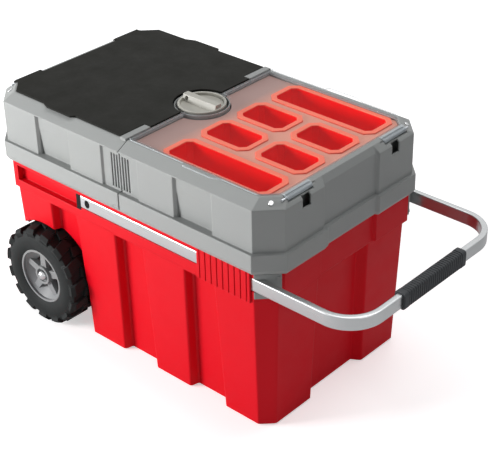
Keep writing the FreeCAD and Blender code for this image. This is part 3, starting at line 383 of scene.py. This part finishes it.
# Grip: a soft rubber sleeve moulded round the bar, with close ribs between two plain bands. Dark grey and dull,
# a little paler than the tyres.

grip_rubber = moulded_plastic("grip_rubber", "35373A", "45474A", roughness=0.6, grain=1.2, grain_height=0.05,
                              ior=rubber_ior)
finished(rounded_copy("handle_grip", 0.5), grip_rubber, "handle_grip", "handle")

# Lock: a grey ring plate screwed to the left tray's shelf, and a warm grey knob with a bar to turn it by and a
# raised rim for the fingers. The knob is glass-filled nylon, paler than the trays, with a satin skin.

pale_nylon = moulded_plastic("pale_nylon", "A9A79E", "B8B6AE", roughness=0.36, grain=1.8, grain_height=0.03,
                             ior=nylon_ior)
ring_wall, ring_foot, ring_height, ring_round = 4.0, 13.5, 7.5, 1.2

finished(rounded_copy("lock_plate", 0.5), grey_polypropylene, "lock_plate", "left_tray")
knob = plain_copy("lock_knob")
low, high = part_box("lock_knob")
ring_middle = high[2] - (ring_foot - ring_height / 2) * MM
bpy.ops.mesh.primitive_cylinder_add(
    vertices=turned_steps, radius=(high[0] - low[0]) / 2, depth=ring_height * MM, end_fill_type="NOTHING",
    location=((low[0] + high[0]) / 2, (low[1] + high[1]) / 2, ring_middle))
ring = walled(ring_wall, -1.0)
edges = ring.modifiers.new("edges", "BEVEL")
edges.width = ring_round * MM
edges.segments = 3
bpy.ops.object.modifier_apply(modifier=edges.name)
joined_to(knob)
finished(knob, pale_nylon, "lock_knob", "knob")

# Organizer: a warm grey deck in the right tray that carries six red cups by their rims. The cups are thin
# smooth mouldings, glossier and more orange than the tub. Their rims are painted paler, as painted light that
# shines through them, and the deck around the cups is painted warmer, as the same warm light painted on it.

deck_polypropylene = moulded_plastic(
    "warm_grey_polypropylene", "AE908A", "B6978F", roughness=0.4, grain=2.5, grain_height=0.04,
    ior=polypropylene_ior, sheen_level=0.08)
cup_polypropylene = moulded_plastic(
    "cup_polypropylene", "FF0606", "FF1008", roughness=0.34, grain=2.5, grain_height=0.02,
    ior=polypropylene_ior, sheen_level=0.05, edge=0.0)
# Where the painted warm light on the deck starts and is full, before and after the cups' start, in millimetres.
painted_warmth_before, painted_warmth_after = 14, 22
# How far below the cups' top the painted glow on their rims starts and is full, in millimetres.
painted_rim_glow_below, painted_rim_glow_whole = 1.8, 0.8


def tinted_from(material, axis, start, full, colour):
    """Blends a plastic into another colour along one axis of the piece, from one place to another."""
    tree = material.node_tree
    surface = tree.nodes["Principled BSDF"]
    own_colour = surface.inputs["Base Color"].links[0].from_socket
    place = tree.nodes["Texture Coordinate"].outputs["Object"]
    along = add_node(tree, "ShaderNodeSeparateXYZ", {}, {"Vector": place})
    share = add_node(tree, "ShaderNodeMapRange", {}, {
        "Value": along.outputs[axis], "From Min": start, "From Max": full})
    blend = add_node(tree, "ShaderNodeMix", {"data_type": "RGBA"}, {
        "Factor": share.outputs["Result"], mix_first: own_colour, mix_second: linear(colour)})
    tree.links.new(blend.outputs[mix_result], surface.inputs["Base Color"])


cup_rows_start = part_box("front_long_cup")[0][0]
cup_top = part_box("front_long_cup")[1][2]
# Painted light: the deck is blended to a salmon tone from just before the cups onward, painted warm light
# thrown on it by the red cups.
tinted_from(deck_polypropylene, "X", cup_rows_start - painted_warmth_before * MM, cup_rows_start + painted_warmth_after * MM,
            "E09F8D")
# Painted light: the top of each cup's rim is blended to a pale salmon, a painted glow for the light that shines
# through the thin rims.
tinted_from(cup_polypropylene, "Z", cup_top - painted_rim_glow_below * MM, cup_top - painted_rim_glow_whole * MM, "FF836C")
deck = rounded_copy("organizer_deck", 0.5)
finished(deck, deck_polypropylene, "organizer_deck", "right_tray")
for node in ("front_long_cup", "rear_long_cup", "front_left_cup", "front_right_cup", "rear_left_cup",
             "rear_right_cup"):
    finished(rounded_copy(node, 0.9, segments=3, angle=50), cup_polypropylene, node, "right_tray")

# Lids: a black polypropylene plate over the left tray and a clear polycarbonate one over the cups, each moulded
# with its hinge barrels. The clear one has a faint random haze of its own, a painted reflection where it is
# seen at a grazing angle, and painted highlights that whiten its barrels and its upright edges.

black_polypropylene = moulded_plastic(
    "black_polypropylene", "1A1A17", "21211D", roughness=0.55, grain=2.2, grain_height=0.06,
    ior=polypropylene_ior, sheen_level=0.08)
polycarbonate_ior, haze_patch = 1.58, 60
clearest, haziest = 0.008, 0.02
# Painted reflection: how strongly the veil whitens the plate where it is seen at a grazing angle.
edge_steepness, grazing_painted_reflection = 9.0, 0.08
# Painted highlights: the veil whitens the hinge barrels past their pins' start, and the upright edges of the
# plate.
hinge_reach, hinge_fade, hinge_painted_highlight = 4, 1.0, 0.5
upright_below, level_above, edge_painted_highlight = 0.3, 0.7, 0.4

finished(rounded_copy("black_lid", 0.8), black_polypropylene, "black_lid", "left_lid")

clear_polycarbonate, tree, place = new_material("clear_polycarbonate")
hinge_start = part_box("right_hinge_pins")[0][0] - hinge_reach * MM
haze = add_node(tree, "ShaderNodeTexNoise", {}, {
    "Vector": place, "Scale": 1 / (haze_patch * MM), "Detail": 5.0})
veil = add_node(tree, "ShaderNodeMapRange", {}, {
    "Value": haze.outputs["Fac"], "To Min": clearest, "To Max": haziest})
edge = add_node(tree, "ShaderNodeLayerWeight", {}, {"Blend": 0.5})
steep = add_node(tree, "ShaderNodeMath", {"operation": "POWER"}, {0: edge.outputs["Facing"], 1: edge_steepness})
# The plate's own random haze plus a painted reflection at grazing angles.
haze_and_painted_reflection = add_node(tree, "ShaderNodeMath", {"operation": "MULTIPLY_ADD"}, {
    0: steep.outputs[0], 1: grazing_painted_reflection, 2: veil.outputs["Result"]})
along = add_node(tree, "ShaderNodeSeparateXYZ", {}, {"Vector": place})
at_hinge = add_node(tree, "ShaderNodeMapRange", {}, {
    "Value": along.outputs["X"], "From Min": hinge_start, "From Max": hinge_start + hinge_fade * MM,
    "To Max": hinge_painted_highlight})
facing = add_node(tree, "ShaderNodeSeparateXYZ", {}, {
    "Vector": tree.nodes["Texture Coordinate"].outputs["Normal"]})
flat = add_node(tree, "ShaderNodeMath", {"operation": "ABSOLUTE"}, {0: facing.outputs["Z"]})
at_side = add_node(tree, "ShaderNodeMapRange", {}, {
    "Value": flat.outputs[0], "From Min": upright_below, "From Max": level_above, "To Min": edge_painted_highlight,
    "To Max": 0.0})
# Painted highlights on the barrels and the upright edges, added to the haze and the painted reflection.
painted_highlight_zones = add_node(tree, "ShaderNodeMath", {"operation": "MAXIMUM"}, {
    0: at_hinge.outputs["Result"], 1: at_side.outputs["Result"]})
haze_and_painted_light = add_node(tree, "ShaderNodeMath", {"operation": "ADD"}, {
    0: haze_and_painted_reflection.outputs[0], 1: painted_highlight_zones.outputs[0]})
surface = add_node(tree, "ShaderNodeBsdfPrincipled", {}, {
    "Base Color": linear("C6CDD1"), "Roughness": 0.08, "IOR": polycarbonate_ior, "Specular IOR Level": 0.12,
    "Alpha": haze_and_painted_light.outputs[0]})
add_node(tree, "ShaderNodeOutputMaterial", {}, {"Surface": surface.outputs["BSDF"]})
finished(rounded_copy("clear_lid", 0.6), clear_polycarbonate, "clear_lid", "right_lid")

# Studio: a pale floor that keeps the soft shadow under the box and turns to plain white farther out, a white
# background with a weaker ambient light, and three soft boxes.

floor_size, floor_near, floor_far = 30, 0.9, 3.0
glow_near, glow_far, ambient_strength = 0.5, 1.0, 0.17

bpy.ops.object.select_all(action="DESELECT")
bpy.ops.mesh.primitive_plane_add(size=floor_size, location=(0, 0, 0))
floor = bpy.context.object
floor.name = "floor"
pale_floor, tree, place = new_material("pale_floor")
path = add_node(tree, "ShaderNodeLightPath", {}, {})
away = add_node(tree, "ShaderNodeVectorMath", {"operation": "LENGTH"}, {0: place})
whiteness = add_node(tree, "ShaderNodeMapRange", {}, {
    "Value": away.outputs["Value"], "From Min": floor_near, "From Max": floor_far, "To Min": glow_near,
    "To Max": glow_far})
lift = add_node(tree, "ShaderNodeMath", {"operation": "MULTIPLY"}, {
    0: path.outputs["Is Camera Ray"], 1: whiteness.outputs["Result"]})
glow = add_node(tree, "ShaderNodeEmission", {}, {"Color": (1.0, 1.0, 1.0, 1.0), "Strength": lift.outputs[0]})
surface = add_node(tree, "ShaderNodeBsdfDiffuse", {}, {"Color": linear("F4F4F4")})
both = add_node(tree, "ShaderNodeAddShader", {}, {0: surface.outputs[0], 1: glow.outputs[0]})
add_node(tree, "ShaderNodeOutputMaterial", {}, {"Surface": both.outputs[0]})
floor.data.materials.append(pale_floor)

world = bpy.data.worlds.new("studio")
bpy.context.scene.world = world
world.use_nodes = True
tree = world.node_tree
tree.nodes.clear()
path = add_node(tree, "ShaderNodeLightPath", {}, {})
mirrored = add_node(tree, "ShaderNodeMath", {"operation": "MAXIMUM"}, {
    0: path.outputs["Is Camera Ray"], 1: path.outputs["Is Glossy Ray"]})
seen = add_node(tree, "ShaderNodeMath", {"operation": "MAXIMUM"}, {
    0: mirrored.outputs[0], 1: path.outputs["Is Transmission Ray"]})
ambient = add_node(tree, "ShaderNodeBackground", {}, {"Color": linear("F2F5FA"), "Strength": ambient_strength})
white = add_node(tree, "ShaderNodeBackground", {}, {"Color": (1.0, 1.0, 1.0, 1.0), "Strength": 1.0})
both = add_node(tree, "ShaderNodeMixShader", {}, {
    0: seen.outputs[0], 1: ambient.outputs[0], 2: white.outputs[0]})
add_node(tree, "ShaderNodeOutputWorld", {}, {"Surface": both.outputs[0]})


def lamp(name, place, aim, size, power):
    """A square soft box at a place, aimed at a point."""
    towards = Vector(place) - Vector(aim)
    bpy.ops.object.light_add(type="AREA", location=place, rotation=towards.to_track_quat("Z", "Y").to_euler())
    light = bpy.context.object
    light.name = name
    light.data.size = size
    light.data.energy = power


lamp("key", place=(-1.65, -1.95, 0.7), aim=(0, 0, 0.25), size=1.1, power=94)
lamp("top", place=(0.1, 0.6, 2.4), aim=(0, 0, 0.3), size=1.6, power=31)
lamp("fill", place=(2.3, -0.5, 0.6), aim=(0, 0, 0.25), size=1.2, power=5)

# Camera: where the picture was taken from, fitted to the box's corners, with the picture's slight lean. The
# place is in metres, the angles in degrees and the lens and its sensor in millimetres.

camera_place = (1.3258, -1.3378, 1.3209)
camera_azimuth, camera_elevation, camera_roll = 42.56, 31.2, -1.16
camera_lens, camera_sensor = 95.1, 36

turn = (Matrix.Rotation(math.radians(camera_azimuth), 4, "Z")
        @ Matrix.Rotation(math.radians(90 - camera_elevation), 4, "X")
        @ Matrix.Rotation(math.radians(camera_roll), 4, "Z"))
bpy.ops.object.camera_add(location=camera_place, rotation=turn.to_euler())
camera = bpy.context.object
camera.data.sensor_width = camera_sensor
camera.data.sensor_fit = "HORIZONTAL"
camera.data.lens = camera_lens
bpy.context.scene.camera = camera
bpy.context.scene.view_settings.view_transform = "Standard"
